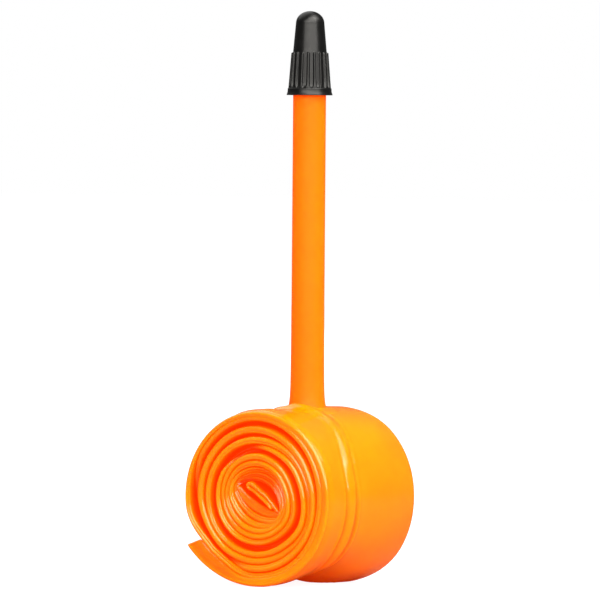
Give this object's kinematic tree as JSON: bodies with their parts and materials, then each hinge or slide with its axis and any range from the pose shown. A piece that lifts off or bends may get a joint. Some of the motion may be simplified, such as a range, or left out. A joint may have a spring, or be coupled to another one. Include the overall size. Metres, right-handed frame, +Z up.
{
  "type": "bicycle inner tube",
  "caption": "Rolled thermoplastic bicycle inner tube with a long valve stem, a removable valve core with lock nut, and a ribbed dust cap.",
  "frame": {"origin": "on the flattened patch that the roll rests on, straight below the valve", "axes": "+Z up along the valve, +Y along the roll's axis from its open spiral face to its back, +X to the right as seen from the spiral face"},
  "size_m": [0.0324, 0.0288, 0.1076],
  "materials": {
    "film": "glossy, slightly translucent",
    "patch": "glossy, slightly translucent",
    "stem": "satin, slightly translucent",
    "cap": "satin moulded",
    "insert": "nickel plated",
    "core": "turned",
    "nut": "knurled",
    "pin": "turned",
    "cup": "turned",
    "seal": "matte",
    "gasket": "matte"
  },
  "bodies": {
    "tube": {"tube": "film", "valve_patch": "patch", "valve_stem": "stem", "stem_insert": "insert"},
    "valve_core": {"core_body": "core", "core_gasket": "gasket"},
    "pin": {"valve_pin": "pin", "pin_seal": "seal", "seal_cup": "cup"},
    "lock_nut": {"lock_nut": "nut"},
    "dust_cap": {"dust_cap": "cap"}
  },
  "joints": [
    {"name": "core_unscrew", "type": "slide", "parent": "tube", "child": "valve_core", "axis": [0, 0, 1], "range_m": [0, 0.03]},
    {"name": "cap_lift", "type": "slide", "parent": "valve_core", "child": "dust_cap", "axis": [0, 0, 1], "range_m": [0, 0.018]},
    {"name": "nut_turn", "type": "hinge", "parent": "valve_core", "child": "lock_nut", "pos_m": [0, 0, 0.1011], "axis": [0, 0, 1], "range_deg": [0, 1440]},
    {"name": "pin_drop", "type": "slide", "parent": "valve_core", "child": "pin", "axis": [0, 0, -1], "range_m": [0, 0.002]}
  ],
  "couplings": [
    {"joint": "nut_turn", "follows": "pin_drop", "rad_per_m": 12560}
  ]
}
